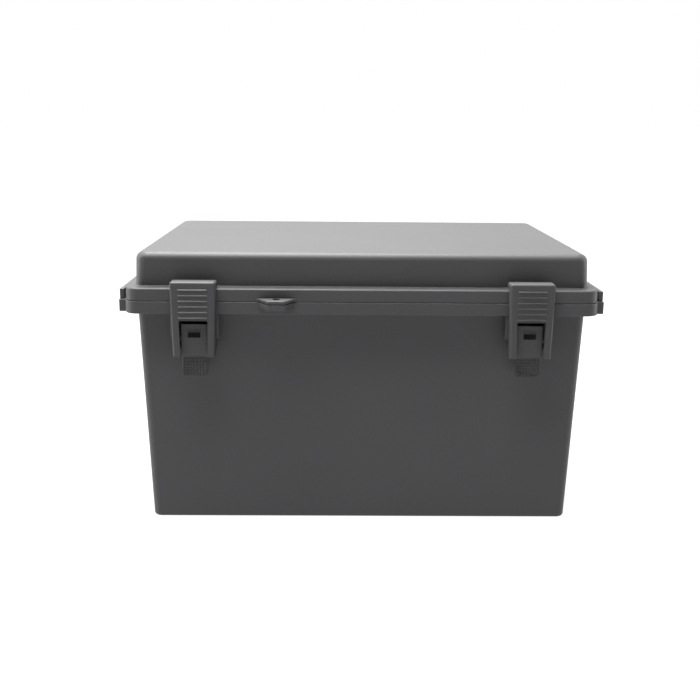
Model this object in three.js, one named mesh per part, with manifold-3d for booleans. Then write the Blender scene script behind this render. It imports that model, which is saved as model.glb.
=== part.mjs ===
// Hinged-lid battery box: a moulded tub and lid with a gasket between their flanges,
// two pinned hinges at the back, two over-centre draw latches and a padlock eye at the front.
// Millimetres. +X right, +Y back, +Z up. The origin is the centre of the tub's underside.
import * as THREE from "three";
import { mergeVertices } from "three/addons/utils/BufferGeometryUtils.js";
import Module from "manifold-3d";

const wasm = await Module();
wasm.setup();

// ---- Driving dimensions ----

const FIT = 0.3; // gap left between two pieces that touch
const LAP = 1; // how far a solid runs into the one that it joins, or a cutter past a face
const FAR = 500; // reach of a cutter that passes right through
const THROUGH = [-FAR, FAR];
const IN_FRONT = [-FAR, 0];

// Flanges: one outline, with the joint between tub and lid half way up.
const FLANGE = { x: 200, y: 150, corner: 12, bottom: 188.6, parting: 199.3, top: 210.3 };
const TUB_FLANGE_TOP = FLANGE.parting - FIT / 2;
const LID_FLANGE_BOTTOM = FLANGE.parting + FIT / 2;

// Tub: half sizes at the underside, leaning out by the draft on the way up.
const TUB = { x: 184.8, y: 129.6, corner: 7.5, edge: 2.5, wall: 3.2, floor: 3.5, draft: 0.0345 };
const TUB_INSIDE = { corner: 5, edge: 2 };
const SKIRT = { wall: 3, plate: 3.2, rib: 2, pitch: 40, ribsX: 9, ribsY: 6 }; // under the flange

// Lid dome: half sizes at the flange, leaning in by the draft on the way up.
const DOME = { x: 192.4, y: 137.1, corner: 7, edge: 6.4, wall: 3, draft: -0.018, top: 238.7 };
const DOME_INSIDE = { corner: 5, edge: 3.6, bottom: 190 };
const LID_FLANGE_EDGE = 1.6;

// Seal: the tub's rim stands up into a channel in the lid, against the gasket.
const CHANNEL = { width: 4.6, top: 207.2 };
const RIM = { gap: 1.2, width: 2.2, top: 203.2 };

// Guide rails on both sides of the tub's flange, outside the lid.
const RAIL = { length: 276, out: 205.8, wallIn: 201.7, wallOut: 205.4, top: 207.6, setBack: 2.5 };

// Draw latches. A is the lever's pin in the tub's ears, B the claw's pin in the lever.
const LATCH_X = 141;
const PIN_A = { y: -146, z: 178 };
const PIN_B = { y: -144.5, z: 161 };
const PIN_R = 1.5;
const SNUG = 0.15; // radial clearance where a pin is held
const LOOSE = 0.4; // radial clearance where a pin turns
const EAR = { out: 20.2, in: 11.8, front: -149, back: -130, bottom: 168 };
const CLAW = { halfTop: 19, halfBottom: 17.5, wall: 3, front: -158, back: -150.4, tip: -143.5 };
const CLAW_Z = { bottom: 153.5, top: 217, underArm: FLANGE.top + 0.45, fillet: 2.4, ease: 2 };
const WINDOW = { strip: 6.2, top: 184.4 }; // strip: width of the frame on each side of it
const GRIP = { half: 12, count: 6, top: 211, pitch: 4.72, high: 0.9, deep: 0.5 };
const LOBE_R = 4.2;
const LEVER = { half: 11, front: -153, thick: 2.5, top: 181, step: 153.8, bottom: 135.6, cheek: 3 };
const TAB = { half: 10.7, root: -150.2, tip: -152.6, thick: 2.6, corner: 3 };
const KEY_SLOT = { half: 5.25, low: 169.3, high: 173.9, ramp: 177.4, proud: 1 };
const BARREL_R = 3.3;

// Padlock eye: one lens-shaped tab on each flange, with a hole through both.
const EYE = { x: -72, half: 16.3, reach: 13.5, hole: 3.3, holeY: -154.5, low: 194, high: 202.5 };

// Hinges at the back: two knuckles on the tub's leaf, one between them on the lid's leaf.
const HINGE_X = 141;
const AXIS = { y: 158, z: FLANGE.parting };
const LEAF = { half: 22, thick: 3, web: 3.4, near: 0.7 };
const KNUCKLE = { r: 4.2, inner: 9, outer: 21.5, pinR: 1.6 };
const SCREW = { head: 2.4, headHigh: 1.8, shank: 1.4, hole: 1.7, grip: 7 };
const RECESS = { long: 1.32, half: 0.35, deep: 0.9 }; // the cross in a screw's head
const TUB_SCREW = { x: 5, z: 192.6 };
const LID_SCREW = { x: 16, z: 206.2 };

// Bosses on the tub's floor, each with a threaded insert for an inner plate or strap.
const BOSS = { x: 158, y: 104, r: 6, top: 14, insertR: 2.8, threadR: 1.7, insertLong: 8 };

// ---- Materials ----

const greyPlastic = new THREE.MeshStandardMaterial({ color: 0x5c5c5e, roughness: 0.5 });
const sealRubber = new THREE.MeshStandardMaterial({ color: 0x1c1c1d, roughness: 0.85 });
const pinSteel = new THREE.MeshStandardMaterial({ color: 0xb4b6b8, roughness: 0.3, metalness: 1 });
const insertBrass = new THREE.MeshStandardMaterial({ color: 0xc9a45a, roughness: 0.35, metalness: 1 });

// ---- Solids ----

// A closed three.js geometry as a solid that can be joined and cut.
function solid(geometry) {
  const bare = geometry.index ? geometry.toNonIndexed() : geometry.clone();
  bare.deleteAttribute("normal");
  bare.deleteAttribute("uv");
  const merged = mergeVertices(bare, 1e-3);
  return new wasm.Manifold(
    new wasm.Mesh({
      numProp: 3,
      vertProperties: merged.attributes.position.array,
      triVerts: new Uint32Array(merged.index.array),
    }),
  );
}

const parts = new THREE.Group();

// Adds a named piece to the object.
function addPiece(name, shape, material) {
  const { vertProperties, triVerts } = shape.getMesh();
  const geometry = new THREE.BufferGeometry();
  geometry.setAttribute("position", new THREE.BufferAttribute(vertProperties, 3));
  geometry.setIndex(new THREE.BufferAttribute(triVerts, 1));
  const flat = geometry.toNonIndexed();
  flat.computeVertexNormals();
  const piece = new THREE.Mesh(flat, material);
  piece.name = name;
  parts.add(piece);
}

function box([x0, x1], [y0, y1], [z0, z1]) {
  const g = new THREE.BoxGeometry(x1 - x0, y1 - y0, z1 - z0);
  return solid(g.translate((x0 + x1) / 2, (y0 + y1) / 2, (z0 + z1) / 2));
}

// A rod along X, from x0 to x1, round the point (y, z).
function rodX(r, [x0, x1], { y, z }, sides = 24) {
  const g = new THREE.CylinderGeometry(r, r, x1 - x0, sides).rotateZ(Math.PI / 2);
  return solid(g.translate((x0 + x1) / 2, y, z));
}

// A rod along Y, from y0 to y1, round the point (x, z).
function rodY(r, [y0, y1], { x, z }, sides = 20) {
  return solid(new THREE.CylinderGeometry(r, r, y1 - y0, sides).translate(x, (y0 + y1) / 2, z));
}

// A rod along Z, from z0 to z1, round the point (x, y).
function rodZ(r, [z0, z1], { x, y }, sides = 24) {
  const g = new THREE.CylinderGeometry(r, r, z1 - z0, sides).rotateX(Math.PI / 2);
  return solid(g.translate(x, y, (z0 + z1) / 2));
}

// A rectangle with round corners, centred on the origin.
function roundedRectangle(x, y, r) {
  const quarter = Math.PI / 2;
  const outline = new THREE.Shape();
  outline.absarc(x - r, y - r, r, 0, quarter);
  outline.absarc(r - x, y - r, r, quarter, 2 * quarter);
  outline.absarc(r - x, r - y, r, 2 * quarter, 3 * quarter);
  outline.absarc(x - r, r - y, r, 3 * quarter, 4 * quarter);
  return outline;
}

// A box-like moulding with half sizes x and y at the height z0. Its upright corners and its top
// and bottom edges are round, and its walls move out by the draft for each millimetre of height.
function moulding({ x, y, corner, edge = 0, draft = 0 }, [z0, z1]) {
  const g = new THREE.ExtrudeGeometry(roundedRectangle(x, y, corner), {
    depth: z1 - z0 - 2 * edge,
    curveSegments: 3,
    bevelEnabled: edge > 0,
    bevelThickness: edge,
    bevelSize: edge,
    bevelOffset: -edge,
    bevelSegments: 4,
  });
  g.translate(0, 0, z0 + edge);
  const p = g.attributes.position;
  for (let i = 0; i < p.count; i++) {
    const lean = draft * (p.getZ(i) - z0);
    p.setX(i, p.getX(i) + Math.sign(p.getX(i)) * lean);
    p.setY(i, p.getY(i) + Math.sign(p.getY(i)) * lean);
  }
  return solid(g);
}

// An outline in the plane of Y and Z, extruded from x = -half to x = half with eased side edges.
function sideProfile(outline, half, ease = 0) {
  const g = new THREE.ExtrudeGeometry(outline, {
    depth: 2 * half - 2 * ease,
    curveSegments: 4,
    bevelEnabled: ease > 0,
    bevelThickness: ease,
    bevelSize: ease,
    bevelOffset: -ease,
    bevelSegments: 2,
  });
  g.translate(0, 0, ease - half);
  // The outline's own axes become Y and Z, and its depth becomes X.
  g.applyMatrix4(new THREE.Matrix4().set(0, 0, 1, 0, 1, 0, 0, 0, 0, 1, 0, 0, 0, 0, 0, 1));
  return solid(g);
}

// An outline in the plane of X and Z, extruded from y0 to y1.
function frontProfile(outline, [y0, y1]) {
  const g = new THREE.ExtrudeGeometry(outline, { depth: y1 - y0, bevelEnabled: false, curveSegments: 4 });
  return solid(g.rotateX(Math.PI / 2).translate(0, y1, 0));
}

function polygon(points) {
  return new THREE.Shape(points.map(([a, b]) => new THREE.Vector2(a, b)));
}

// Places on both sides of the middle, a pitch apart.
const spaced = (count, pitch) => Array.from({ length: count }, (_, i) => (i - (count - 1) / 2) * pitch);
const grown = (m, by) => ({ ...m, x: m.x + by, y: m.y + by, corner: m.corner + by });
const both = [["left", -1], ["right", 1]];

// ---- Tub ----

const tubAt = (z) => ({ ...TUB, x: TUB.x + TUB.draft * z, y: TUB.y + TUB.draft * z });
const flange = { x: FLANGE.x, y: FLANGE.y, corner: FLANGE.corner };

// The lens-shaped tab of the padlock eye, between two heights.
function eyeTab(low, high) {
  const { half, reach } = EYE;
  const outline = new THREE.Shape();
  outline.moveTo(-half, 0.5);
  outline.bezierCurveTo(-half * 0.55, -0.6, -half * 0.5, -reach, 0, -reach);
  outline.bezierCurveTo(half * 0.5, -reach, half * 0.55, -0.6, half, 0.5);
  const g = new THREE.ExtrudeGeometry(outline, {
    depth: high - low,
    bevelEnabled: false,
    curveSegments: 8,
  });
  return solid(g.translate(EYE.x, -FLANGE.y, low));
}

const eyeHole = rodZ(EYE.hole, [EYE.low - 5, EYE.high + 5], { x: EYE.x, y: EYE.holeY });

// Pockets under the tub's flange, between its skirt and the wall, with ribs between them.
function skirtPockets() {
  const rib = (at) => [at - SKIRT.rib / 2, at + SKIRT.rib / 2];
  let pockets = moulding(grown(flange, -SKIRT.wall), [FLANGE.bottom - 5, TUB_FLANGE_TOP - SKIRT.plate]);
  pockets = pockets.subtract(moulding({ ...tubAt(FLANGE.bottom), edge: 0, draft: 0 }, THROUGH));
  for (const x of spaced(SKIRT.ribsX, SKIRT.pitch))
    pockets = pockets.subtract(box(rib(x), THROUGH, THROUGH));
  for (const y of spaced(SKIRT.ribsY, SKIRT.pitch))
    pockets = pockets.subtract(box(THROUGH, rib(y), THROUGH));
  for (const x of [-HINGE_X, HINGE_X])
    pockets = pockets.subtract(box([x - LEAF.half, x + LEAF.half], [0, FAR], THROUGH));
  for (const x of [-LATCH_X, LATCH_X])
    for (const side of [-1, 1]) {
      const ear = [x + side * EAR.in, x + side * EAR.out].sort((a, b) => a - b);
      pockets = pockets.subtract(box(ear, IN_FRONT, THROUGH));
    }
  return pockets;
}

// A guide rail: a solid foot on the flange and a thin wall that stands beside the lid.
function guideRail(side) {
  const half = RAIL.length / 2;
  const span = (a, b) => [side * a, side * b].sort((p, q) => p - q);
  const foot = box(span(FLANGE.x - 2, RAIL.out), [-half, half], [FLANGE.bottom, TUB_FLANGE_TOP - 0.2]);
  const wall = box(
    span(RAIL.wallIn, RAIL.wallOut),
    [RAIL.setBack - half, half - RAIL.setBack],
    [TUB_FLANGE_TOP - 2, RAIL.top],
  );
  return foot.add(wall);
}

// The two ears that carry the lever's pin, below the flange.
function latchEars(x) {
  const heights = [EAR.bottom, FLANGE.bottom + LAP];
  const right = box([x + EAR.in, x + EAR.out], [EAR.front, EAR.back], heights);
  return right.add(box([x - EAR.out, x - EAR.in], [EAR.front, EAR.back], heights));
}

function tub() {
  let shell = moulding(TUB, [0, TUB_FLANGE_TOP - 0.5]);
  shell = shell.add(moulding(flange, [FLANGE.bottom, TUB_FLANGE_TOP]));
  shell = shell.subtract(skirtPockets());

  const rim = { ...DOME, edge: 0, draft: 0 };
  shell = shell.add(moulding(grown(rim, RIM.gap + RIM.width), [FLANGE.parting - 1, RIM.top]));
  shell = shell.subtract(moulding(grown(rim, RIM.gap), [TUB_FLANGE_TOP, RIM.top + 1]));

  for (const [, side] of both) shell = shell.add(guideRail(side));
  for (const [, side] of both) shell = shell.add(latchEars(side * LATCH_X));
  shell = shell.add(eyeTab(EYE.low, TUB_FLANGE_TOP));

  const hollow = { ...TUB, ...TUB_INSIDE, x: TUB.x - TUB.wall, y: TUB.y - TUB.wall };
  shell = shell.subtract(moulding(hollow, [TUB.floor, FLANGE.top + 5]));

  for (const x of [-BOSS.x, BOSS.x])
    for (const y of [-BOSS.y, BOSS.y]) {
      shell = shell.add(rodZ(BOSS.r, [TUB.floor - 1, BOSS.top], { x, y }));
      shell = shell.subtract(
        rodZ(BOSS.insertR + SNUG, [BOSS.top - BOSS.insertLong - 0.5, BOSS.top + 1], { x, y }),
      );
    }
  shell = shell.subtract(rodX(PIN_R + SNUG, THROUGH, PIN_A));
  for (const [, side] of both)
    for (const dx of [-TUB_SCREW.x, TUB_SCREW.x]) shell = shell.subtract(screwHole(side, dx, TUB_SCREW.z));
  return shell.subtract(eyeHole);
}

// The blind hole in a flange's back face for a hinge screw.
function screwHole(side, dx, z) {
  return rodY(SCREW.hole, [FLANGE.y - SCREW.grip - 0.5, FLANGE.y + 1], { x: side * HINGE_X + dx, z });
}

addPiece("base_shell", tub(), greyPlastic);

// ---- Lid ----

function lid() {
  const above = moulding({ ...flange, edge: LID_FLANGE_EDGE }, [FLANGE.parting - 10, FLANGE.top]);
  const keep = box(THROUGH, THROUGH, [LID_FLANGE_BOTTOM, FAR]);
  let shell = above.intersect(keep);
  shell = shell.add(moulding(DOME, [FLANGE.top - DOME.edge - 1, DOME.top]));

  const inside = { ...DOME, ...DOME_INSIDE, x: DOME.x - DOME.wall, y: DOME.y - DOME.wall };
  shell = shell.subtract(moulding(inside, [DOME_INSIDE.bottom, DOME.top - DOME.wall]));

  const inner = { ...DOME, edge: 0, draft: 0 };
  const channel = moulding(grown(inner, CHANNEL.width), [-FAR, CHANNEL.top]);
  shell = shell.subtract(channel.subtract(moulding(inner, THROUGH)));

  shell = shell.add(eyeTab(LID_FLANGE_BOTTOM, EYE.high));
  for (const [, side] of both)
    for (const dx of [-LID_SCREW.x, LID_SCREW.x]) shell = shell.subtract(screwHole(side, dx, LID_SCREW.z));
  return shell.subtract(eyeHole);
}

addPiece("lid_shell", lid(), greyPlastic);

// ---- Gasket ----

function gasket() {
  const inner = { ...DOME, edge: 0, draft: 0 };
  const span = [RIM.top + FIT, CHANNEL.top - FIT];
  const outside = moulding(grown(inner, CHANNEL.width - FIT), span);
  return outside.subtract(moulding(grown(inner, FIT), THROUGH));
}

addPiece("lid_gasket", gasket(), sealRubber);

// ---- Draw latches ----

// Narrows a latch piece towards its lower end, as the claw's sides do.
function clawHalf(z) {
  const along = (z - CLAW_Z.bottom) / (CLAW_Z.top - CLAW_Z.bottom);
  return CLAW.halfBottom + (CLAW.halfTop - CLAW.halfBottom) * along;
}

// The front view of the claw between two heights, with its sides moved in by an inset.
function clawFront(inset, low, high) {
  return polygon([
    [inset - clawHalf(low), low],
    [clawHalf(low) - inset, low],
    [clawHalf(high) - inset, high],
    [inset - clawHalf(high), high],
  ]);
}

function claw() {
  const { bottom, top, underArm, fillet, ease } = CLAW_Z;
  const outline = new THREE.Shape();
  outline.moveTo(CLAW.front, bottom);
  outline.lineTo(CLAW.back, bottom);
  outline.lineTo(PIN_B.y, PIN_B.z - LOBE_R);
  outline.absarc(PIN_B.y, PIN_B.z, LOBE_R, -Math.PI / 2, Math.PI / 2);
  outline.lineTo(CLAW.back, PIN_B.z + LOBE_R);
  outline.lineTo(CLAW.back, underArm);
  outline.lineTo(CLAW.tip, underArm);
  outline.absarc(CLAW.tip - fillet, top - fillet, fillet, 0, Math.PI / 2);
  outline.absarc(CLAW.front + fillet, top - fillet, fillet, Math.PI / 2, Math.PI);

  let shape = sideProfile(outline, CLAW.halfTop, ease);
  shape = shape.intersect(frontProfile(clawFront(0, bottom - LAP, top + LAP), IN_FRONT));
  const hollow = clawFront(CLAW.wall, bottom - 5, FLANGE.top - 1);
  shape = shape.subtract(frontProfile(hollow, [CLAW.front + CLAW.wall, 0]));
  const window = clawFront(WINDOW.strip, bottom - 5, WINDOW.top);
  shape = shape.subtract(frontProfile(window, [CLAW.front - LAP, CLAW.front + CLAW.wall + LAP]));
  for (let i = 0; i < GRIP.count; i++) {
    const z = GRIP.top - i * GRIP.pitch;
    const rib = box([-GRIP.half, GRIP.half], [CLAW.front - GRIP.deep, CLAW.front + 1], [z - GRIP.high, z]);
    shape = shape.add(rib);
  }
  return shape.subtract(rodX(PIN_R + SNUG, THROUGH, PIN_B));
}

// The lever's plate and thumb tab, seen from the side. The tab steps back below the plate
// and curves out towards its tip.
function leverPlate() {
  const { front, thick, top, step, bottom } = LEVER;
  const outline = new THREE.Shape();
  outline.moveTo(front, top);
  outline.lineTo(front, step + 0.6);
  outline.lineTo(front + 0.6, step);
  outline.lineTo(TAB.root, step);
  outline.quadraticCurveTo(TAB.root, bottom + 7, TAB.tip, bottom + 0.8);
  outline.lineTo(TAB.tip + 0.8, bottom);
  outline.lineTo(TAB.tip + TAB.thick, bottom + 0.4);
  outline.quadraticCurveTo(TAB.root + TAB.thick, bottom + 8, TAB.root + TAB.thick, step);
  outline.lineTo(front + thick, step + 4);
  outline.lineTo(front + thick, top);
  return sideProfile(outline, LEVER.half, 0.4);
}

// The lever's two cheeks, which reach back from the plate to both pins.
function leverCheek() {
  const back = LEVER.front + LEVER.thick - 0.5;
  const outline = new THREE.Shape();
  outline.moveTo(back, LEVER.top - 0.6);
  outline.lineTo(back, PIN_B.z - BARREL_R);
  outline.lineTo(PIN_B.y, PIN_B.z - BARREL_R);
  outline.absarc(PIN_B.y, PIN_B.z, BARREL_R, -Math.PI / 2, 0);
  outline.lineTo(PIN_A.y + BARREL_R, PIN_A.z);
  outline.absarc(PIN_A.y, PIN_A.z, BARREL_R, 0, Math.PI / 2);
  outline.lineTo(back, LEVER.top - 0.6);
  return sideProfile(outline, LEVER.half);
}

function lever() {
  const { half, top, bottom } = LEVER;
  const cheekIn = half - LEVER.cheek;
  let shape = leverCheek();
  shape = shape.add(rodX(BARREL_R, [-EAR.in + FIT, EAR.in - FIT], PIN_A));
  shape = shape.add(rodX(BARREL_R, [-clawHalf(PIN_B.z) + 3.5, clawHalf(PIN_B.z) - 3.5], PIN_B));
  const between = box([-cheekIn, cheekIn], [LEVER.front + LEVER.thick, 0], THROUGH);
  const coreSpan = [-cheekIn - LAP, cheekIn + LAP];
  const core = rodX(BARREL_R, coreSpan, PIN_A).add(rodX(BARREL_R, coreSpan, PIN_B));
  shape = shape.subtract(between.subtract(core));
  shape = shape.add(leverPlate());

  const neck = LEVER.step - 0.2;
  const outline = new THREE.Shape();
  outline.absarc(TAB.corner - TAB.half, bottom + TAB.corner, TAB.corner, -Math.PI, -Math.PI / 2);
  outline.absarc(TAB.half - TAB.corner, bottom + TAB.corner, TAB.corner, -Math.PI / 2, 0);
  outline.lineTo(TAB.half, neck);
  outline.lineTo(2 * half, neck);
  outline.lineTo(2 * half, top + 5);
  outline.lineTo(-2 * half, top + 5);
  outline.lineTo(-2 * half, neck);
  outline.lineTo(-TAB.half, neck);
  shape = shape.intersect(frontProfile(outline, IN_FRONT));

  const ramp = polygon([
    [LEVER.front + 1, KEY_SLOT.ramp],
    [LEVER.front, KEY_SLOT.ramp],
    [LEVER.front - KEY_SLOT.proud, KEY_SLOT.high + 0.8],
    [LEVER.front, KEY_SLOT.high],
    [LEVER.front + 1, KEY_SLOT.high],
  ]);
  shape = shape.add(sideProfile(ramp, KEY_SLOT.half));
  const slot = box(
    [-KEY_SLOT.half, KEY_SLOT.half],
    [LEVER.front - 3, LEVER.front + LEVER.thick + 0.2],
    [KEY_SLOT.low, KEY_SLOT.high],
  );
  shape = shape.subtract(slot);
  for (const pin of [PIN_A, PIN_B]) shape = shape.subtract(rodX(PIN_R + LOOSE, THROUGH, pin));
  return shape;
}

const clawShape = claw();
const leverShape = lever();
for (const [name, side] of both) {
  const to = (shape) => shape.translate([side * LATCH_X, 0, 0]);
  const pinAHalf = EAR.out - 0.4;
  const pinBHalf = clawHalf(PIN_B.z) - 0.3;
  addPiece("latch_claw_" + name, to(clawShape), greyPlastic);
  addPiece("latch_lever_" + name, to(leverShape), greyPlastic);
  addPiece("lever_pin_" + name, to(rodX(PIN_R, [-pinAHalf, pinAHalf], PIN_A)), pinSteel);
  addPiece("claw_pin_" + name, to(rodX(PIN_R, [-pinBHalf, pinBHalf], PIN_B)), pinSteel);
}

// ---- Hinges ----

// One leaf of a hinge: a plate on the flange's back face, with a web out to each knuckle.
// up is 1 for the lid's leaf and -1 for the tub's.
function leaf(up, knuckles, screw) {
  const near = FLANGE.y + FIT;
  const heights = (a, b) => [AXIS.z + up * a, AXIS.z + up * b].sort((p, q) => p - q);
  const tall = FLANGE.top - FLANGE.parting - 0.5;
  let shape = box([-LEAF.half, LEAF.half], [near, near + LEAF.thick], heights(LEAF.near, tall));
  for (const span of knuckles) {
    shape = shape.add(rodX(KNUCKLE.r, span, AXIS));
    shape = shape.add(box(span, [near, AXIS.y], heights(LEAF.near, LEAF.near + LEAF.web)));
  }
  for (const dx of [-screw.x, screw.x])
    shape = shape.subtract(rodY(SCREW.hole, [near - LAP, near + LEAF.thick + LAP], { x: dx, z: screw.z }));
  return shape.subtract(rodX(KNUCKLE.pinR + SNUG + 0.1, THROUGH, AXIS));
}

// A pan-head screw along -Y, with a cross-shaped recess, its head against a leaf's outer face.
function hingeScrew({ x, z }) {
  const seat = FLANGE.y + FIT + LEAF.thick;
  const bore = [seat + SCREW.headHigh - RECESS.deep, seat + SCREW.headHigh + LAP];
  const wide = (at) => [at - RECESS.long, at + RECESS.long];
  const slim = (at) => [at - RECESS.half, at + RECESS.half];
  let shape = rodY(SCREW.head, [seat, seat + SCREW.headHigh], { x, z }, 16);
  shape = shape.add(rodY(SCREW.shank, [FLANGE.y - SCREW.grip, seat + 0.5], { x, z }, 12));
  shape = shape.subtract(box(wide(x), bore, slim(z)));
  return shape.subtract(box(slim(x), bore, wide(z)));
}

const { inner, outer } = KNUCKLE;
const tubLeaf = leaf(-1, [[-outer, -inner - 0.5], [inner + 0.5, outer]], TUB_SCREW);
const lidLeaf = leaf(1, [[-inner, inner]], LID_SCREW);
const hingePin = rodX(KNUCKLE.pinR, [-outer - 0.8, outer + 0.8], AXIS);
for (const [name, side] of both) {
  const to = (shape) => shape.translate([side * HINGE_X, 0, 0]);
  addPiece("hinge_base_leaf_" + name, to(tubLeaf), greyPlastic);
  addPiece("hinge_lid_leaf_" + name, to(lidLeaf), greyPlastic);
  addPiece("hinge_pin_" + name, to(hingePin), pinSteel);
  for (const [where, dir] of [["a", -1], ["b", 1]]) {
    const low = hingeScrew({ x: dir * TUB_SCREW.x, z: TUB_SCREW.z });
    const high = hingeScrew({ x: dir * LID_SCREW.x, z: LID_SCREW.z });
    addPiece("hinge_base_screw_" + name + "_" + where, to(low), pinSteel);
    addPiece("hinge_lid_screw_" + name + "_" + where, to(high), pinSteel);
  }
}

// ---- Threaded inserts ----

for (const [name, side] of both)
  for (const [end, dir] of [["front", -1], ["back", 1]]) {
    const at = { x: side * BOSS.x, y: dir * BOSS.y };
    const span = [BOSS.top - BOSS.insertLong, BOSS.top - 0.2];
    const body = rodZ(BOSS.insertR, span, at);
    const insert = body.subtract(rodZ(BOSS.threadR, [0, BOSS.top + 1], at, 16));
    addPiece("insert_" + end + "_" + name, insert, insertBrass);
  }

export default parts;
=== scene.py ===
import math

import bmesh
import bpy
from mathutils import Matrix, Vector


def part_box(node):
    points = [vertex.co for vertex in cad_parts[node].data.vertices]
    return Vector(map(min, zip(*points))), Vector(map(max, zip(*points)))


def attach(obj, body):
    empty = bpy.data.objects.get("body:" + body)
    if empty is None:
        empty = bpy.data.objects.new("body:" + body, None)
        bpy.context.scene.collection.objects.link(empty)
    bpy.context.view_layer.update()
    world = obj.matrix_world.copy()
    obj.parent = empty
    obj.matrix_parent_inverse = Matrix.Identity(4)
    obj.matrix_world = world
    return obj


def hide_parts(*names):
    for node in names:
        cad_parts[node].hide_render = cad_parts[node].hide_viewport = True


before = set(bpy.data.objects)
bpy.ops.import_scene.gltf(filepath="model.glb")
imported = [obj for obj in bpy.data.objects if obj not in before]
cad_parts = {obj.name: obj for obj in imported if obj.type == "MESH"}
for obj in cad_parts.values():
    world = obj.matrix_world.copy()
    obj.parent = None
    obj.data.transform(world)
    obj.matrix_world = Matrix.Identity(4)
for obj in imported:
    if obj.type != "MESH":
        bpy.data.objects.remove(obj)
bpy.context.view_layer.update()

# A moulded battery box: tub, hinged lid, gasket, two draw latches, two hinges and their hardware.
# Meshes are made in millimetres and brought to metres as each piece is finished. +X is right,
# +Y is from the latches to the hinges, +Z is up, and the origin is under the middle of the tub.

# ---- Camera ----
# A normal lens almost a metre in front of the latches and a little to the left, held above the
# lid and tipped down at the box.

camera_data = bpy.data.cameras.new("camera")
camera_data.lens, camera_data.sensor_width = 51.59, 36
camera = bpy.data.objects.new("camera", camera_data)
pan, tilt, lean = (math.radians(angle) for angle in (-0.83, 90 - 13.01, 0.52))
aim = Matrix.Rotation(pan, 4, "Z") @ Matrix.Rotation(tilt, 4, "X") @ Matrix.Rotation(lean, 4, "Z")
camera.matrix_world = Matrix.Translation((-0.0222, -0.976, 0.3496)) @ aim
bpy.context.scene.collection.objects.link(camera)
bpy.context.scene.camera = camera

# ---- Studio ----
# A white floor without an edge, a white sweep behind the box, one large soft lamp above it and a
# strip at each side, so that upright faces stay dark and everything facing up is bright.


class Value:
    """The output of a node, which + and * extend with Math nodes."""

    def __init__(self, graph, socket):
        self.graph, self.socket = graph, socket

    def _math(self, operation, first, second):
        return self.graph.add("Math", {"operation": operation}, {0: first, 1: second})

    def __add__(self, other):
        return self._math("ADD", self, other)

    def __mul__(self, other):
        return self._math("MULTIPLY", self, other)

    __radd__, __rmul__ = __add__, __mul__


class Graph:
    """A material or a world whose nodes are added one by one."""

    def __init__(self, owner):
        owner.use_nodes = True
        self.owner, self.tree = owner, owner.node_tree
        self.tree.nodes.clear()

    def add(self, kind, settings=None, inputs=None, output=0):
        """Adds a node: its settings first, then a value or a link for each of its sockets."""
        node = self.tree.nodes.new("ShaderNode" + kind)
        for name, setting in (settings or {}).items():
            if name == "stops":
                self._stops(node, setting)
            else:
                setattr(node, name, setting)
        for name, value in (inputs or {}).items():
            if isinstance(value, Value):
                self.tree.links.new(value.socket, node.inputs[name])
            else:
                node.inputs[name].default_value = value
        return Value(self, node.outputs[output]) if node.outputs else None

    def blend(self, factor, low, high):
        """A colour between two others."""
        return self.add("Mix", {"data_type": "RGBA"}, {0: factor, 6: low, 7: high}, output=2)

    def _stops(self, node, stops):
        """Sets a colour ramp's places and colours."""
        elements = node.color_ramp.elements
        for _ in stops[2:]:
            elements.new(0.5)
        for element, (position, shade) in zip(elements, stops):
            element.position, element.color = position, shade

    def finish(self, shader, kind="OutputMaterial"):
        """Joins a shader to the output, and gives back the finished material or world."""
        self.add(kind, inputs={"Surface": shader})
        return self.owner


def grey(level, warmth=0.0):
    """A colour of that level, a touch warmer or cooler than neutral."""
    return (level * (1 + warmth), level, level * (1 - warmth), 1)


bpy.context.scene.view_settings.view_transform = "Standard"

sky = Graph(bpy.data.worlds.new("studio"))
facing = sky.add("SeparateXYZ", inputs={0: sky.add("TexCoord", output="Generated")}, output="Y")
sweep = sky.add(
    "ValToRGB",
    {"stops": [(0.0, grey(0.01)), (0.42, grey(0.03)), (0.62, grey(0.9)), (1.0, grey(1.1))]},
    {0: facing * 0.5 + 0.5},
)
seen = sky.add("LightPath", output="Is Camera Ray")
light = sky.add("Background", inputs={"Color": sky.blend(seen, sweep, grey(1.0))})
bpy.context.scene.world = sky.finish(light, "OutputWorld")

FLOOR_RADIUS = 40
floor_mesh = bmesh.new()
bmesh.ops.create_circle(floor_mesh, cap_ends=True, radius=FLOOR_RADIUS, segments=96)
floor_data = bpy.data.meshes.new("floor")
floor_mesh.to_mesh(floor_data)
floor_mesh.free()
floor = bpy.data.objects.new("floor", floor_data)
bpy.context.scene.collection.objects.link(floor)
paper = Graph(bpy.data.materials.new("paper"))
lit = {"Emission Color": grey(1.0), "Emission Strength": 0.96}
sheet = paper.add("BsdfPrincipled", inputs={"Base Color": grey(0.08), "Roughness": 0.9, **lit})
floor_data.materials.append(paper.finish(sheet))


def soft_lamp(name, size, power, place, target):
    """A rectangular soft box at a place, turned towards a target."""
    data = bpy.data.lights.new(name, "AREA")
    data.shape, data.energy, data.color = "RECTANGLE", power, (1, 1, 0.97)
    data.size, data.size_y = size
    lamp = bpy.data.objects.new(name, data)
    turn = (Vector(place) - Vector(target)).to_track_quat("Z", "Y").to_matrix().to_4x4()
    lamp.matrix_world = Matrix.Translation(place) @ turn
    bpy.context.scene.collection.objects.link(lamp)


soft_lamp("overhead", (2.2, 1.2), 138, (-0.3, 0.25, 1.8), (0, 0.2, 0.2))
soft_lamp("left_strip", (0.4, 1.2), 13, (-1.3, 0.12, 0.55), (0, 0.1, 0.15))
soft_lamp("right_strip", (0.4, 1.2), 9, (1.3, 0.15, 0.55), (0, 0.1, 0.15))

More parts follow.
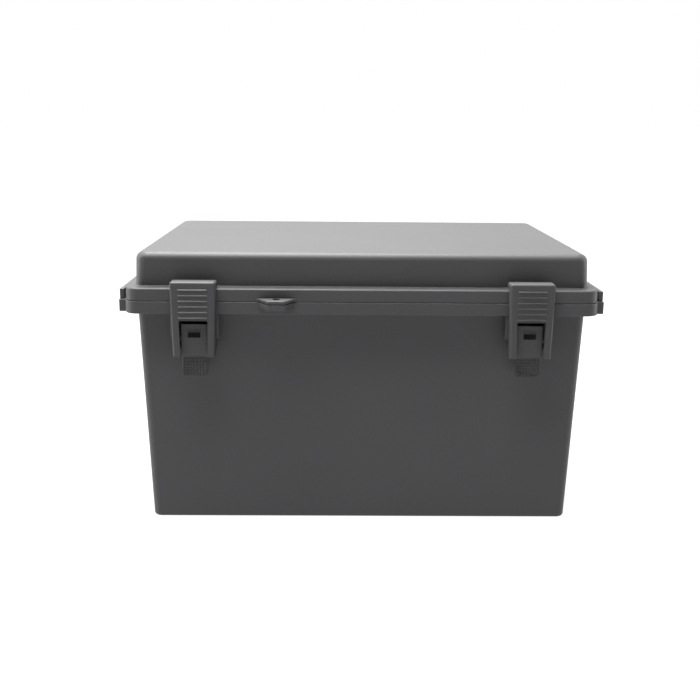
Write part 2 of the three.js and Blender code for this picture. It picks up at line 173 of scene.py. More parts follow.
# ---- Tub ----
# An open box with walls that lean out, injection moulded in grey ABS in one shot with its
# flange, the rim that presses into the seal, both side rails, the latch ears and the eye.

MM = 0.001
SLIVER, CREASE, CORNER_STEPS = 0.002, math.radians(32), 12
TURN_TO = {"X": Matrix.Rotation(math.pi / 2, 4, "Y"), "Y": Matrix.Rotation(-math.pi / 2, 4, "X")}


def frame_box(node):
    """The lowest and highest corner of a frame node, in millimetres."""
    low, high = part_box(node)
    return low / MM, high / MM


def moved(point, old, new):
    """A point of a round-cornered loop, carried to the same place on another loop."""
    spot = []
    for axis in (0, 1):
        straight = abs(point[axis]) - (old[axis] - old[2])
        reach = new[axis] - new[2] + straight * new[2] / old[2]
        spot.append(math.copysign(reach, point[axis]))
    return Vector((*spot, new[3]))


def loft(stations):
    """A closed skin through round-cornered loops, and the edges of each loop.

    A station is half the width, half the depth, the corner radius and the height.
    """
    bm = bmesh.new()
    half_step = math.pi / (4 * CORNER_STEPS)
    verts = bmesh.ops.create_circle(
        bm,
        cap_ends=True,
        radius=1 / math.cos(half_step),
        segments=4 * CORNER_STEPS,
        matrix=Matrix.Rotation(half_step, 4, "Z"),
    )["verts"]
    station = (1, 1, 1, 0)
    edges = list(bm.edges)
    loops = []
    for following in stations:
        if loops:
            made = bmesh.ops.extrude_edge_only(bm, edges=edges)["geom"]
            edges = [g for g in made if isinstance(g, bmesh.types.BMEdge) and g.is_boundary]
            verts = {v for e in edges for v in e.verts}
        for v in verts:
            v.co = moved(v.co, station, following)
        station = following
        loops.append(edges)
    bmesh.ops.contextual_create(bm, geom=edges)
    bmesh.ops.recalc_face_normals(bm, faces=bm.faces)
    return bm, loops


def ease(bm, edges, radius, segments=3):
    """Rounds edges off to a radius."""
    bmesh.ops.bevel(
        bm,
        geom=[e for e in edges if e.is_valid],
        offset=radius,
        segments=segments,
        profile=0.5,
        affect="EDGES",
        material=-1,
    )


def block(bm, low, high, radius=0):
    """Adds a box between two corners, with its edges rounded off if a radius is given."""
    low, high = Vector(low), Vector(high)
    place = Matrix.Translation((low + high) / 2) @ Matrix.Diagonal((*(high - low), 1))
    verts = bmesh.ops.create_cube(bm, size=1, matrix=place)["verts"]
    if radius:
        ease(bm, {e for v in verts for e in v.link_edges}, radius)


def rod(bm, along, radius, span, centre, edge=0, sides=48):
    """Adds a round bar along an axis. centre is its place on the two other axes."""
    axis = "XYZ".index(along)
    middle = list(centre)
    middle.insert(axis, sum(span) / 2)
    verts = bmesh.ops.create_cone(
        bm,
        cap_ends=True,
        segments=sides,
        radius1=radius,
        radius2=radius,
        depth=abs(span[1] - span[0]),
        matrix=Matrix.Translation(middle) @ TURN_TO.get(along, Matrix.Identity(4)),
    )["verts"]
    if edge:
        both = {e for v in verts for e in v.link_edges}
        rims = {e for e in both if any(len(f.verts) > 4 for f in e.link_faces)}
        ease(bm, rims, edge)
    return verts


def prism(bm, outline, along, span):
    """Adds a flat outline, given on the two other axes, extruded between two places on an axis."""
    axis = "XYZ".index(along)
    verts = []
    for spot in outline:
        corner = list(spot)
        corner.insert(axis, span[0])
        verts.append(bm.verts.new(corner))
    face = bm.faces.new(verts)
    shift = [0, 0, 0]
    shift[axis] = span[1] - span[0]
    made = bmesh.ops.extrude_face_region(bm, geom=[face])["geom"]
    top = [g for g in made if isinstance(g, bmesh.types.BMVert)]
    bmesh.ops.translate(bm, verts=top, vec=shift)
    island = verts + top
    faces = {f for v in island for f in v.link_faces}
    bmesh.ops.recalc_face_normals(bm, faces=list(faces))
    return island


def mesh_object(name, bm):
    """An object at the origin that holds a mesh still in millimetres."""
    data = bpy.data.meshes.new(name)
    bm.to_mesh(data)
    bm.free()
    made = bpy.data.objects.new(name, data)
    bpy.context.scene.collection.objects.link(made)
    return made


def solids(bm):
    """The separate solids of a mesh, a mesh each."""
    bm.verts.index_update()
    left = set(bm.verts)
    while left:
        border = [left.pop()]
        found = {border[0].index}
        while border:
            vert = border.pop()
            near = {e.other_vert(vert) for e in vert.link_edges} & left
            left -= near
            found |= {v.index for v in near}
            border += near
        single = bm.copy()
        others = [v for v in single.verts if v.index not in found]
        bmesh.ops.delete(single, geom=others, context="VERTS")
        yield single
    bm.free()


def combine(target, tool, operation):
    """Joins each solid of a tool to a target, or cuts each out of it."""
    for single in solids(tool):
        other = mesh_object("other", single)
        modifier = target.modifiers.new("combine", "BOOLEAN")
        modifier.object, modifier.operation, modifier.solver = other, operation, "MANIFOLD"
        view = bpy.context.evaluated_depsgraph_get()
        solid = bpy.data.meshes.new_from_object(target.evaluated_get(view))
        target.modifiers.clear()
        target.data = solid
        bpy.data.objects.remove(other)
    return target


def shaped(name, body, added=None, removed=None):
    """The object for a piece made of a body, with solids joined to it and solids cut from it."""
    target = mesh_object(name, body)
    if added:
        combine(target, added, "UNION")
    if removed:
        combine(target, removed, "DIFFERENCE")
    return target


def finished(piece, material, body, nodes):
    """Brings a piece to metres and smooths its shading, then gives it its finish and its body."""
    bm = bmesh.new()
    bm.from_mesh(piece.data)
    bmesh.ops.remove_doubles(bm, verts=bm.verts, dist=SLIVER)
    bmesh.ops.dissolve_degenerate(bm, edges=bm.edges, dist=SLIVER)
    bmesh.ops.scale(bm, verts=bm.verts, vec=(MM, MM, MM))
    for face in bm.faces:
        face.smooth = True
        face.material_index = 0
    for edge in bm.edges:
        edge.smooth = edge.calc_face_angle(0) < CREASE
    bm.to_mesh(piece.data)
    bm.free()
    piece.data.materials.clear()
    piece.data.materials.append(material)
    piece.modifiers.new("even", "WEIGHTED_NORMAL").keep_sharp = True
    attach(piece, body)
    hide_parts(*nodes)


def grey_plastic(name, level, tooth):
    """Satin moulded ABS: an even grey with a fine spark-eroded tooth and faint flow marks."""
    g = Graph(bpy.data.materials.new(name))
    place = g.add("TexCoord", output="Object")
    tint = g.add("TexNoise", inputs={"Vector": place, "Scale": 14.0, "Detail": 3.0})
    grain = g.add("TexNoise", inputs={"Vector": place, "Scale": 1900.0, "Detail": 2.0})
    streaks = {"Vector": place, "Scale": 5.0, "Detail": 2.0, "Distortion": 0.8}
    flow = g.add("TexNoise", inputs=streaks)
    mottle = tint * 0.6 + grain * 0.4
    tones = [(level * k * 1.01, level * k * 0.985, level * k * 1.05, 1) for k in (0.92, 1.1)]
    speckle = g.add("TexVoronoi", inputs={"Vector": place, "Scale": 1300.0})
    relief = {"Strength": 0.16 * tooth, "Distance": 0.0001, "Height": grain * 0.6 + speckle * 0.4}
    finish = {
        "Base Color": g.blend(mottle, *tones),
        "Roughness": 0.44 + flow * 0.1 + grain * 0.04,
        "Normal": g.add("Bump", inputs=relief),
        "IOR": 1.38,
    }
    return g.finish(g.add("BsdfPrincipled", inputs=finish))


tub_high = frame_box("base_shell")[1]
lid_low, lid_high = frame_box("lid_shell")
FIT_GAP = 0.3
FLANGE_X, FLANGE_Y, FLANGE_R = lid_high.x, lid_high.y, 12
SKIRT_LOW, SKIRT_WALL, TUB_TOP = 188.6, 3, lid_low.z - FIT_GAP
FOOT_X, FOOT_Y, DRAFT, TUB_R, TIGHTEN = 184.8, 129.6, 0.0345, 7.5, 0.7
WALL, FLOOR, PLATE = 3.2, 3.5, 3.2
DOME_X, DOME_Y, DOME_R = 192.4, 137.1, 7
RIM_OUT, RIM_IN, RIM_TOP = 3.4, 1.2, 203.2
# The radius on the edge at each loop, by the loop's place in the loft.
TUB_EDGES = {0: 2.5, 1: 0.8, 2: 0.8, 3: 0.3, 4: 0.9, 5: 0.7, 7: 0.5, 8: 0.5, 10: 0.6, 11: 2}
ABS = grey_plastic("grey_abs", 0.06, 1.0)


def on_wall(z, inset=0):
    """The tub's wall at a height, as a station. Its corners tighten towards the inside."""
    lean = DRAFT * z
    return (FOOT_X + lean - inset, FOOT_Y + lean - inset, TUB_R - inset * TIGHTEN, z)


def on_flange(inset, radius, z):
    """A loop that follows the flange's outline at a distance inside it."""
    return (FLANGE_X - inset, FLANGE_Y - inset, radius, z)


def round_dome(out, z):
    """A loop that follows the dome's outline at a distance outside it."""
    return (DOME_X + out, DOME_Y + out, DOME_R + out, z)


tub, tub_loops = loft(
    [
        on_wall(0),
        on_wall(TUB_TOP - PLATE),
        on_flange(SKIRT_WALL, FLANGE_R - SKIRT_WALL, TUB_TOP - PLATE),
        on_flange(SKIRT_WALL, FLANGE_R - SKIRT_WALL, SKIRT_LOW),
        on_flange(0, FLANGE_R, SKIRT_LOW),
        on_flange(0, FLANGE_R, TUB_TOP),
        round_dome(RIM_OUT, TUB_TOP),
        round_dome(RIM_OUT, RIM_TOP),
        round_dome(RIM_IN, RIM_TOP),
        round_dome(RIM_IN, TUB_TOP),
        on_wall(TUB_TOP, WALL),
        on_wall(FLOOR, WALL),
    ]
)
for loop, radius in TUB_EDGES.items():
    ease(tub, tub_loops[loop], radius, 6 if radius > 1 else 3)

RAIL_Y, RAIL_TOP, RAIL_OUT = 138, tub_high.z, tub_high.x
RAIL_WALL, RAIL_SETBACK = (201.7, 205.4), 2.5
EAR_IN, EAR_OUT, EAR_FRONT, EAR_BACK, EAR_LOW = 11.8, 20.2, -149, -132, 168
FIN_HALF, FIN_ROOT_X, FIN_ROOT_Y = 1, 189, 134
FIN_LOW, FIN_HIGH = SKIRT_LOW + 1.2, TUB_TOP - 2
LATCHES = {"left": -141, "right": 141}
HINGES, LEAF_HALF = LATCHES, 22
PIN_A, PIN_B, PIN_HOLE, DRILL = (-146, 178), (-144.5, 161), 1.65, 22
BOSS_X, BOSS_Y, BOSS_R, BOSS_TOP = 158, 104, 6, 14
INSERT_HOLE, INSERT_DEPTH = 2.95, 8.5
GUSSET = [(5.5, FLOOR - 0.5), (11.5, FLOOR - 0.5), (5.5, BOSS_TOP - 3)]
GUSSET_HALF = 0.8
SCREW_HOLE, SCREW_SPAN = 1.7, (142.5, 152)
TUB_SCREWS, TUB_SCREW_Z = (-5, 5), 192.6

tub_extras = bmesh.new()
for side in (-1, 1):
    foot = sorted((side * (FLANGE_X - 1.5), side * RAIL_OUT))
    block(tub_extras, (foot[0], -RAIL_Y, SKIRT_LOW), (foot[1], RAIL_Y, TUB_TOP - 0.2), 0.5)
    wall = sorted(side * reach for reach in RAIL_WALL)
    end = RAIL_Y - RAIL_SETBACK
    block(tub_extras, (wall[0], -end, TUB_TOP - 2), (wall[1], end, RAIL_TOP), 0.6)
for x in LATCHES.values():
    for side in (-1, 1):
        ear = sorted((x + side * EAR_IN, x + side * EAR_OUT))
        top = SKIRT_LOW + 1.5
        block(tub_extras, (ear[0], EAR_FRONT, EAR_LOW), (ear[1], EAR_BACK, top), 0.8)
for side in (-1, 1):
    for x in range(-160, 161, 40):
        fin = sorted((side * FIN_ROOT_Y, side * (FLANGE_Y - 2)))
        block(tub_extras, (x - FIN_HALF, fin[0], FIN_LOW), (x + FIN_HALF, fin[1], FIN_HIGH), 0.25)
    for y in range(-100, 101, 40):
        fin = sorted((side * FIN_ROOT_X, side * (FLANGE_X - 2)))
        block(tub_extras, (fin[0], y - FIN_HALF, FIN_LOW), (fin[1], y + FIN_HALF, FIN_HIGH), 0.25)
for x in HINGES.values():
    pad_low, pad_high = (x - LEAF_HALF, FIN_ROOT_Y), (x + LEAF_HALF, FLANGE_Y - 1)
    block(tub_extras, (*pad_low, SKIRT_LOW + 0.8), (*pad_high, TUB_TOP - 1.5), 0.4)
for x in (-BOSS_X, BOSS_X):
    for y in (-BOSS_Y, BOSS_Y):
        rod(tub_extras, "Z", BOSS_R, (FLOOR - 1, BOSS_TOP), (x, y), 0.5)
        for turn in range(4):
            gusset = prism(tub_extras, GUSSET, "Y", (-GUSSET_HALF, GUSSET_HALF))
            spin = Matrix.Translation((x, y, 0)) @ Matrix.Rotation(turn * math.pi / 2, 4, "Z")
            bmesh.ops.transform(tub_extras, matrix=spin, verts=gusset)

EYE_X, EYE_HALF, EYE_REACH, EYE_LOW = -72, 16.3, 13.5, 194
EYE_FADE, EYE_POINTS = 0.62, 16
EYE_HOLE, EYE_HOLE_AT, EYE_DRILL = 3.3, (EYE_X, -154.5), (180, 210)


def eye_tab(bm, low, high, rounding):
    """Adds a tab of the padlock eye: it swells out of the flange and fades back into it."""
    outline = [(EYE_X + EYE_HALF, -FLANGE_Y + 2), (EYE_X - EYE_HALF, -FLANGE_Y + 2)]
    for i in range(2 * EYE_POINTS + 1):
        along = i / EYE_POINTS - 1
        rise = min(1, (1 - abs(along)) / EYE_FADE)
        swell = rise * rise * (3 - 2 * rise)
        outline.append((EYE_X + EYE_HALF * along, -FLANGE_Y - 0.1 - EYE_REACH * swell))
    verts = prism(bm, outline, "Z", (low, high))
    front = {e for v in verts for e in v.link_edges if all(u.co.y < -FLANGE_Y for u in e.verts)}
    level = [e for e in front if abs(e.verts[0].co.z - e.verts[1].co.z) < 0.01]
    ease(bm, level, rounding, 4)


eye_tab(tub_extras, EYE_LOW, TUB_TOP - 0.02, 0.9)

tub_cuts = bmesh.new()
rod(tub_cuts, "Z", EYE_HOLE, EYE_DRILL, EYE_HOLE_AT)
for x in LATCHES.values():
    rod(tub_cuts, "X", PIN_HOLE, (x - DRILL, x + DRILL), PIN_A)
for x in (-BOSS_X, BOSS_X):
    for y in (-BOSS_Y, BOSS_Y):
        rod(tub_cuts, "Z", INSERT_HOLE, (BOSS_TOP - INSERT_DEPTH, BOSS_TOP + 1), (x, y))
for x in HINGES.values():
    for offset in TUB_SCREWS:
        rod(tub_cuts, "Y", SCREW_HOLE, SCREW_SPAN, (x + offset, TUB_SCREW_Z), sides=24)

finished(shaped("tub", tub, tub_extras, tub_cuts), ABS, "base", ["base_shell"])

# ---- Threaded inserts ----
# Four brass bushes, turned with a knurled outside and a plain bore. They are pressed hot into the
# bosses on the tub's floor, to hold a battery tray or a bracket.


def turned_brass():
    """Machined brass, bright in places and a little browned in others."""
    g = Graph(bpy.data.materials.new("turned_brass"))
    place = g.add("TexCoord", output="Object")
    tarnish = g.add("TexNoise", inputs={"Vector": place, "Scale": 420.0, "Detail": 4.0})
    colour = g.blend(tarnish, (0.46, 0.3, 0.11, 1), (0.75, 0.55, 0.26, 1))
    finish = {"Base Color": colour, "Roughness": 0.22 + tarnish * 0.25, "Metallic": 1.0}
    return g.finish(g.add("BsdfPrincipled", inputs=finish))


BRASS = turned_brass()
BUSH_R, BUSH_BORE, BUSH_LENGTH, BUSH_SUNK = 2.8, 1.7, 8, 0.2
KNURLS, KNURL_VALLEY = 28, 0.95

for end, y_side in {"front": -1, "back": 1}.items():
    for name, x_side in {"left": -1, "right": 1}.items():
        x, y = x_side * BOSS_X, y_side * BOSS_Y
        bush = bmesh.new()
        span = (BOSS_TOP - BUSH_LENGTH, BOSS_TOP - BUSH_SUNK)
        grip = rod(bush, "Z", BUSH_R, span, (x, y), sides=2 * KNURLS)
        for v in grip:
            out = v.co.xy - Vector((x, y))
            tooth = round(math.atan2(out.y, out.x) / math.pi * KNURLS)
            if tooth % 2:
                v.co.xy = Vector((x, y)) + out * KNURL_VALLEY
        bore = bmesh.new()
        rod(bore, "Z", BUSH_BORE, (0, BOSS_TOP + 1), (x, y), sides=32)
        node = f"insert_{end}_{name}"
        finished(shaped(f"bush_{end}_{name}", bush, None, bore), BRASS, "base", [node])

# ---- Lid ----
# A domed cover moulded in the same grey ABS, with a flange that matches the tub's, a channel
# underneath for the seal and the upper half of the padlock eye.

LID_LOW, LID_TOP, FLANGE_TOP = lid_low.z, lid_high.z, 210.3
DOME_LEAN, DOME_FOOT, DOME_WALL, LIP = 0.018, 202.9, 3, 0.6
CORNER_TOP, CORNER_LOW, CORNER_INSIDE_TOP, CORNER_INSIDE_LOW = 11, 8, 7.5, 5
CHANNEL, CHANNEL_TOP = 4.6, 207.2
# The radius on the edge at each loop, by the loop's place in the loft.
LID_EDGES = {0: 6.4, 1: 0.9, 2: 1.7, 3: 0.45, 4: 0.3, 7: 0.4, 8: 0.4, 9: 3.6}
LID_EYE_TOP = 202.5
LID_SCREWS, LID_SCREW_Z = (-16, 16), 206.2


def on_dome(z, inset, radius):
    """The dome's wall at a height, as a station."""
    lean = DOME_LEAN * (z - DOME_FOOT) + inset
    return (DOME_X - lean, DOME_Y - lean, radius, z)


lid, lid_loops = loft(
    [
        on_dome(LID_TOP, 0, CORNER_TOP),
        on_dome(FLANGE_TOP, 0, CORNER_LOW),
        on_flange(LIP, FLANGE_R, FLANGE_TOP),
        on_flange(LIP, FLANGE_R, LID_LOW),
        round_dome(CHANNEL, LID_LOW),
        round_dome(CHANNEL, CHANNEL_TOP),
        round_dome(0, CHANNEL_TOP),
        round_dome(0, LID_LOW),
        on_dome(LID_LOW, DOME_WALL, CORNER_INSIDE_LOW),
        on_dome(LID_TOP - DOME_WALL, DOME_WALL, CORNER_INSIDE_TOP),
    ]
)
for loop, radius in LID_EDGES.items():
    ease(lid, lid_loops[loop], radius, 10 if radius > 3 else 4)

lid_extras = bmesh.new()
eye_tab(lid_extras, LID_LOW + 0.02, LID_EYE_TOP, 1.0)

lid_cuts = bmesh.new()
rod(lid_cuts, "Z", EYE_HOLE, EYE_DRILL, EYE_HOLE_AT)
for x in HINGES.values():
    for offset in LID_SCREWS:
        rod(lid_cuts, "Y", SCREW_HOLE, SCREW_SPAN, (x + offset, LID_SCREW_Z), sides=24)

finished(shaped("lid", lid, lid_extras, lid_cuts), ABS, "lid", ["lid_shell"])

# ---- Gasket ----
# A ring of black foam rubber, cut to lie in the channel under the lid's flange. The tub's rim
# presses into it when the latches are pulled shut.


def foam_rubber():
    """Black closed-cell rubber, dull and finely pitted."""
    g = Graph(bpy.data.materials.new("foam_rubber"))
    place = g.add("TexCoord", output="Object")
    cells = g.add("TexVoronoi", inputs={"Vector": place, "Scale": 1100.0})
    dust = g.add("TexNoise", inputs={"Vector": place, "Scale": 60.0, "Detail": 4.0})
    colour = g.blend(dust, grey(0.012), grey(0.03))
    pits = g.add("Bump", inputs={"Strength": 0.5, "Distance": 0.0003, "Height": cells})
    finish = {"Base Color": colour, "Roughness": 0.75 + dust * 0.2, "Normal": pits}
    return g.finish(g.add("BsdfPrincipled", inputs=finish))


SEAL_EDGE = 1.2
seal_low, seal_high = frame_box("lid_gasket")
seal, seal_loops = loft(
    [
        round_dome(FIT_GAP, seal_high.z),
        round_dome(FIT_GAP, seal_low.z),
        round_dome(CHANNEL - FIT_GAP, seal_low.z),
        round_dome(CHANNEL - FIT_GAP, seal_high.z),
    ]
)
caps = [f for f in seal.faces if len(f.verts) > 4]
bmesh.ops.delete(seal, geom=caps, context="FACES_ONLY")
bmesh.ops.bridge_loops(seal, edges=[e for e in seal.edges if e.is_boundary])
bmesh.ops.recalc_face_normals(seal, faces=seal.faces)
ease(seal, seal_loops[1] + seal_loops[2], SEAL_EDGE, 5)
finished(mesh_object("seal", seal), foam_rubber(), "lid", ["lid_gasket"])

# ---- Steel pins ----
# Drawn stainless wire, cut to length with eased ends: one through each hinge, and two through
# each latch.


def drawn_steel():
    """Stainless wire with faint draw lines along it."""
    g = Graph(bpy.data.materials.new("drawn_steel"))
    place = g.add("TexCoord", output="Object")
    along = g.add("Mapping", inputs={"Vector": place, "Scale": (30.0, 2400.0, 2400.0)})
    lines = g.add("TexNoise", inputs={"Vector": along, "Scale": 1.0, "Detail": 3.0})
    colour = g.blend(lines, grey(0.42), grey(0.62, 0.01))
    draw = g.add("Bump", inputs={"Strength": 0.2, "Distance": 0.00005, "Height": lines})
    finish = {"Base Color": colour, "Roughness": 0.2 + lines * 0.2, "Metallic": 1.0, "Normal": draw}
    return g.finish(g.add("BsdfPrincipled", inputs=finish))


STEEL = drawn_steel()
PIN_EDGE = 0.35
for side in LATCHES:
    bodies = {"lever_pin": "base", "claw_pin": f"claw_{side}", "hinge_pin": "base"}
    for kind, body in bodies.items():
        name = f"{kind}_{side}"
        low, high = frame_box(name)
        centre = ((low.y + high.y) / 2, (low.z + high.z) / 2)
        pin = bmesh.new()
        rod(pin, "X", (high.y - low.y) / 2, (low.x, high.x), centre, PIN_EDGE, 40)
        finished(mesh_object(name + "_wire", pin), STEEL, body, [name])

# ---- Latch claws ----
# The outer half of a draw latch: a tapered channel of the same ABS with six grip ribs, an open
# window for the lever and an arm on top that reaches over the lid's flange.

CLAW_ABS = grey_plastic("grey_abs_latch", 0.058, 0.7)
CLAW_LOW, CLAW_HIGH, CLAW_FRONT, CLAW_BACK, CLAW_TIP = 153.5, 217, -158, -150.4, -143.5
HALF_TOP, HALF_LOW, CLAW_WALL, STRIP, WINDOW_TOP = 19, 17.5, 3, 6.2, 184.4
CLAW_EDGE, CLAW_HEEL, LOBE, ARM_LOW = 2.2, 0.6, 4.2, FLANGE_TOP + 0.45
RIB_TOP, RIB_PITCH, RIBS, RIB_HALF = 211, 4.72, 6, 12
# A grip rib's section: how far back from the claw's face, and how far up.
RIB_SECTION = [(1, 0.15), (0, 0.15), (-0.85, -0.75), (-0.7, -1.05), (1, -1.05)]


def arc(centre, radius, start, end, steps):
    """Points round an arc, in degrees."""
    angles = [math.radians(start + (end - start) * i / steps) for i in range(steps + 1)]
    return [(centre[0] + radius * math.cos(a), centre[1] + radius * math.sin(a)) for a in angles]


def claw_half(z):
    """Half the claw's width at a height."""
    return HALF_LOW + (HALF_TOP - HALF_LOW) * (z - CLAW_LOW) / (CLAW_HIGH - CLAW_LOW)


def claw_front(inset, low, high):
    """The claw's tapered front view between two heights."""
    return [
        (inset - claw_half(low), low),
        (claw_half(low) - inset, low),
        (claw_half(high) - inset, high),
        (inset - claw_half(high), high),
    ]


def claw_mesh(x):
    """The claw's body, the cuts in it and its grip ribs, at a place along the box."""
    outline = [(CLAW_FRONT, CLAW_LOW), (CLAW_BACK, CLAW_LOW)]
    outline += arc(PIN_B, LOBE, -90, 90, 12)
    outline += [(CLAW_BACK, PIN_B[1] + LOBE), (CLAW_BACK, ARM_LOW), (CLAW_TIP, ARM_LOW)]
    outline += [(CLAW_TIP, CLAW_HIGH), (CLAW_FRONT, CLAW_HIGH)]
    body = bmesh.new()
    for v in prism(body, outline, "X", (-HALF_TOP, HALF_TOP)):
        v.co.x *= claw_half(v.co.z) / HALF_TOP

    def on(edge, test):
        return all(test(v.co) for v in edge.verts)

    crest = [e for e in body.edges if on(e, lambda c: c.z > CLAW_HIGH - 0.01)]
    face = [e for e in body.edges if on(e, lambda c: c.y < CLAW_FRONT + 0.01)]
    flanks = [e for e in face if e.verts[0].co.x * e.verts[1].co.x > 0]
    ease(body, set(crest + flanks), CLAW_EDGE, 6)
    rest = [e for e in body.edges if e.calc_face_angle(0) > math.radians(60)]
    ease(body, [e for e in rest if on(e, lambda c: c.z < ARM_LOW + 0.01)], CLAW_HEEL)

    cuts = bmesh.new()
    hollow = claw_front(CLAW_WALL, CLAW_LOW - 6, FLANGE_TOP - 1)
    prism(cuts, hollow, "Y", (CLAW_FRONT + CLAW_WALL, EAR_BACK + 2))
    window = claw_front(STRIP, CLAW_LOW - 6, WINDOW_TOP)
    prism(cuts, window, "Y", (CLAW_FRONT - 2, CLAW_FRONT + CLAW_WALL + 1))
    rod(cuts, "X", PIN_HOLE, (-DRILL, DRILL), PIN_B)

    ribs = bmesh.new()
    for i in range(RIBS):
        z = RIB_TOP - i * RIB_PITCH
        section = [(CLAW_FRONT + back, z + up) for back, up in RIB_SECTION]
        prism(ribs, section, "X", (-RIB_HALF, RIB_HALF))
    for part in (body, cuts, ribs):
        bmesh.ops.translate(part, verts=part.verts, vec=(x, 0, 0))
    return body, cuts, ribs


for side, x in LATCHES.items():
    body, cuts, ribs = claw_mesh(x)
    claw = shaped(f"claw_{side}", body, None, cuts)
    combine(claw, ribs, "UNION")
    finished(claw, CLAW_ABS, f"claw_{side}", [f"latch_claw_{side}"])

# ---- Latch levers ----
# The inner half of a draw latch: a plate with a key slot, two cheeks round the pins behind it,
# and a thumb tab below it with rows of small raised dots.

LEVER_HALF, LEVER_FRONT, LEVER_THICK, LEVER_TOP, STEP = 11, -153, 2.5, 181, 153.8
TAB_HALF, TAB_ROOT, TAB_TIP, TAB_THICK, TAB_LOW = 10.7, -150.2, -152.6, 2.6, 135.6
TAB_STEPS, TAB_CORNER, LEVER_EDGE = 8, 3, 0.6
SLOT_HALF, SLOT_LOW, SLOT_HIGH, RAMP_TOP = 5.25, 169.3, 173.9, 177.4
CHEEK, BARREL, BARREL_EDGE, BARREL_SHORT, LEVER_BORE = 3, 3.3, 0.3, 3.5, 1.9
DOT_PITCH, DOT_ROWS, DOT_COLUMNS, DOT_START, DOT_SUNK = 2.6, 6, 8, 3.4, 0.25
DOT_FOOT, DOT_TOP, DOT_TALL = 0.75, 0.45, 1.1
FACE_FORWARD = Matrix.Rotation(math.pi / 2, 4, "X")


def tab_front(z):
    """How far forward the thumb tab's face is at a height: it curves out towards its tip."""
    down = (STEP - z) / (STEP - TAB_LOW)
    return TAB_ROOT + (TAB_TIP - TAB_ROOT) * down**2


def lever_mesh(x):
    """The lever's plate and tab, its cheeks and barrels, and the cuts through them."""
    heights = [STEP - (STEP - TAB_LOW) * i / TAB_STEPS for i in range(TAB_STEPS + 1)]
    face = [(tab_front(z), z) for z in heights]
    outline = [(LEVER_FRONT, LEVER_TOP), (LEVER_FRONT, STEP), *face]
    outline += [(y + TAB_THICK, z) for y, z in reversed(face)]
    outline += [(LEVER_FRONT + LEVER_THICK, STEP + 4), (LEVER_FRONT + LEVER_THICK, LEVER_TOP)]
    body = bmesh.new()
    for v in prism(body, outline, "X", (-LEVER_HALF, LEVER_HALF)):
        if v.co.z < STEP - 0.01:
            v.co.x *= TAB_HALF / LEVER_HALF
    foot = [e for e in body.edges if all(v.co.z < TAB_LOW + 0.01 for v in e.verts)]
    corners = [e for e in foot if abs(e.verts[0].co.y - e.verts[1].co.y) > 1]
    ease(body, corners, TAB_CORNER, 6)
    sharp = [e for e in body.edges if e.calc_face_angle(0) > math.radians(50)]
    ease(body, sharp, LEVER_EDGE)

    back = LEVER_FRONT + LEVER_THICK - 0.5
    cheeks = bmesh.new()
    profile = [(back, LEVER_TOP - 0.8), (back, PIN_B[1] - BARREL)]
    profile += arc(PIN_B, BARREL, -90, 0, 8) + arc(PIN_A, BARREL, 0, 90, 8)
    for cheek in ((-LEVER_HALF, CHEEK - LEVER_HALF), (LEVER_HALF - CHEEK, LEVER_HALF)):
        prism(cheeks, profile, "X", cheek)
    barrels = bmesh.new()
    rod(barrels, "X", BARREL, (FIT_GAP - EAR_IN, EAR_IN - FIT_GAP), PIN_A, BARREL_EDGE)
    reach = claw_half(PIN_B[1]) - BARREL_SHORT
    rod(barrels, "X", BARREL, (-reach, reach), PIN_B, BARREL_EDGE)
    ramp = bmesh.new()
    wedge = [
        (LEVER_FRONT + 1, RAMP_TOP),
        (LEVER_FRONT, RAMP_TOP),
        (LEVER_FRONT - 1, SLOT_HIGH + 0.9),
        (LEVER_FRONT - 0.9, SLOT_HIGH + 0.2),
        (LEVER_FRONT + 1, SLOT_HIGH + 0.2),
    ]
    prism(ramp, wedge, "X", (-SLOT_HALF, SLOT_HALF))
    cuts = bmesh.new()
    block(cuts, (-SLOT_HALF, LEVER_FRONT - 3, SLOT_LOW), (SLOT_HALF, back + 0.7, SLOT_HIGH))
    for pin in (PIN_A, PIN_B):
        rod(cuts, "X", LEVER_BORE, (-DRILL, DRILL), pin)
    dots = bmesh.new()
    for row in range(DOT_ROWS):
        z = STEP - DOT_START - row * DOT_PITCH
        for column in range(DOT_COLUMNS):
            across = (column - (DOT_COLUMNS - 1) / 2) * DOT_PITCH
            place = Matrix.Translation((across, tab_front(z) - DOT_SUNK, z))
            bmesh.ops.create_cone(
                dots,
                cap_ends=True,
                segments=8,
                radius1=DOT_FOOT,
                radius2=DOT_TOP,
                depth=DOT_TALL,
                matrix=place @ FACE_FORWARD,
            )
    made = (body, cheeks, barrels, ramp, cuts, dots)
    for part in made:
        bmesh.ops.translate(part, verts=part.verts, vec=(x, 0, 0))
    return made


for side, x in LATCHES.items():
    body, cheeks, barrels, ramp, cuts, dots = lever_mesh(x)
    lever = mesh_object(f"lever_{side}", body)
    for extra in (cheeks, barrels, ramp):
        combine(lever, extra, "UNION")
    combine(lever, cuts, "DIFFERENCE")
    combine(lever, dots, "UNION")
    finished(lever, CLAW_ABS, f"lever_{side}", [f"latch_lever_{side}"])

# ---- Hinges ----
# Two plastic leaves round one steel pin: two knuckles on the tub's leaf and one between them on
# the lid's leaf, each leaf held flat on its flange by two screws.

HINGE_AT, KNUCKLE, HINGE_BORE, LEAF_THICK = (158, 199.3), 4.2, 1.85, 3
LEAF_FACE, LEAF_NEAR, LEAF_TALL, WEB = FLANGE_Y + FIT_GAP, 0.7, 10.5, 3.4
TUB_KNUCKLES, LID_KNUCKLES = ((-21.5, -9.5), (9.5, 21.5)), ((-9, 9),)


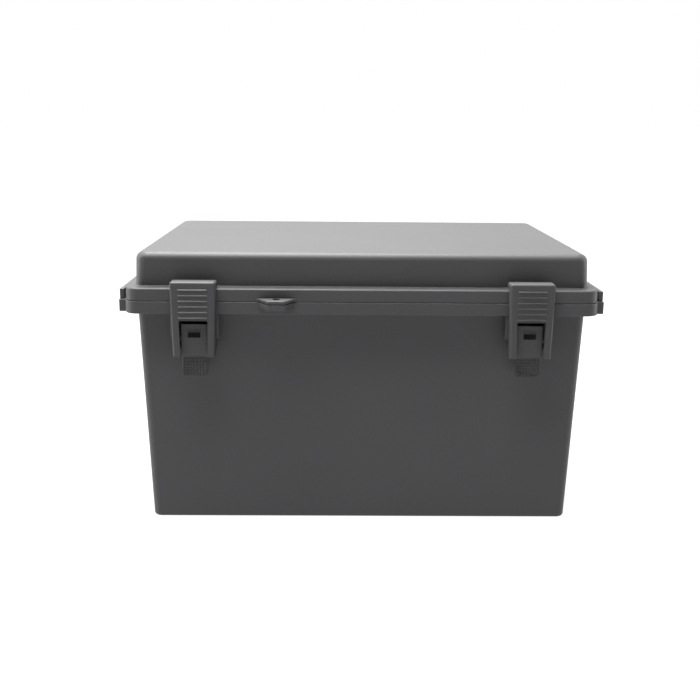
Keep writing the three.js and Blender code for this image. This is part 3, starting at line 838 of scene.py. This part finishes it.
def leaf(name, x, up, knuckles, screws, screw_z):
    """A leaf with its knuckles. up is 1 on the lid and -1 on the tub."""

    def between(a, b):
        return sorted((HINGE_AT[1] + up * a, HINGE_AT[1] + up * b))

    low, high = between(LEAF_NEAR, LEAF_TALL)
    back = LEAF_FACE + LEAF_THICK
    plate = bmesh.new()
    block(plate, (x - LEAF_HALF, LEAF_FACE, low), (x + LEAF_HALF, back, high), 0.6)
    webs, barrels, cuts = bmesh.new(), bmesh.new(), bmesh.new()
    low, high = between(LEAF_NEAR + 0.05, LEAF_NEAR + WEB)
    for start, end in knuckles:
        near, far = x + start, x + end
        block(webs, (near + 0.02, LEAF_FACE + 0.5, low), (far - 0.02, HINGE_AT[0], high), 0.2)
        rod(barrels, "X", KNUCKLE, (near, far), HINGE_AT, 0.4)
    for offset in screws:
        rod(cuts, "Y", SCREW_HOLE, (LEAF_FACE - 2, back + 2), (x + offset, screw_z), sides=24)
    rod(cuts, "X", HINGE_BORE, (x - 30, x + 30), HINGE_AT)
    made = shaped(name, plate, webs)
    combine(made, barrels, "UNION")
    return combine(made, cuts, "DIFFERENCE")


for side, x in HINGES.items():
    tub_leaf = leaf(f"tub_leaf_{side}", x, -1, TUB_KNUCKLES, TUB_SCREWS, TUB_SCREW_Z)
    finished(tub_leaf, ABS, "base", [f"hinge_base_leaf_{side}"])
    lid_leaf = leaf(f"lid_leaf_{side}", x, 1, LID_KNUCKLES, LID_SCREWS, LID_SCREW_Z)
    finished(lid_leaf, ABS, "lid", [f"hinge_lid_leaf_{side}"])

# ---- Hinge screws ----
# Eight steel pan-head screws with a cross recess, two through each leaf into the flange that
# the leaf lies against.

SCREW_SEAT = LEAF_FACE + LEAF_THICK
# Half of a screw's section: the radius, and how far it stands out from the leaf.
HEAD = [(0, 1.8), (1.3, 1.75), (2.1, 1.35), (2.4, 0.7), (2.4, 0)]
SHANK = [(1.4, 0), (1.4, -10), (0.9, -10.4), (0, -10.4)]
RECESS_LONG, RECESS_SHORT, RECESS_FLOOR = 1.35, 0.35, 0.9
SCREWS = {"base": (TUB_SCREWS, TUB_SCREW_Z), "lid": (LID_SCREWS, LID_SCREW_Z)}


def screw_mesh(x, z):
    """A pan head on a shank, turned from its half section about its own axis."""
    bm = bmesh.new()
    verts = [bm.verts.new((x + r, SCREW_SEAT + y, z)) for r, y in HEAD + SHANK]
    edges = [bm.edges.new(pair) for pair in zip(verts, verts[1:])]
    bmesh.ops.spin(
        bm,
        geom=verts + edges,
        cent=(x, SCREW_SEAT, z),
        axis=(0, 1, 0),
        angle=2 * math.pi,
        steps=28,
        use_merge=True,
    )
    bmesh.ops.remove_doubles(bm, verts=bm.verts, dist=0.001)
    bmesh.ops.recalc_face_normals(bm, faces=bm.faces)
    cross = bmesh.new()
    floor_y, top_y = SCREW_SEAT + RECESS_FLOOR, SCREW_SEAT + 3
    for wide, tall in ((RECESS_LONG, RECESS_SHORT), (RECESS_SHORT, RECESS_LONG)):
        block(cross, (x - wide, floor_y, z - tall), (x + wide, top_y, z + tall))
    return bm, cross


for side, x in HINGES.items():
    for i, where in enumerate("ab"):
        for body, (offsets, z) in SCREWS.items():
            screw, cross = screw_mesh(x + offsets[i], z)
            made = mesh_object(f"screw_{body}_{side}_{where}", screw)
            combine(made, cross, "DIFFERENCE")
            node = f"hinge_{body}_screw_{side}_{where}"
            finished(made, STEEL, body, [node])
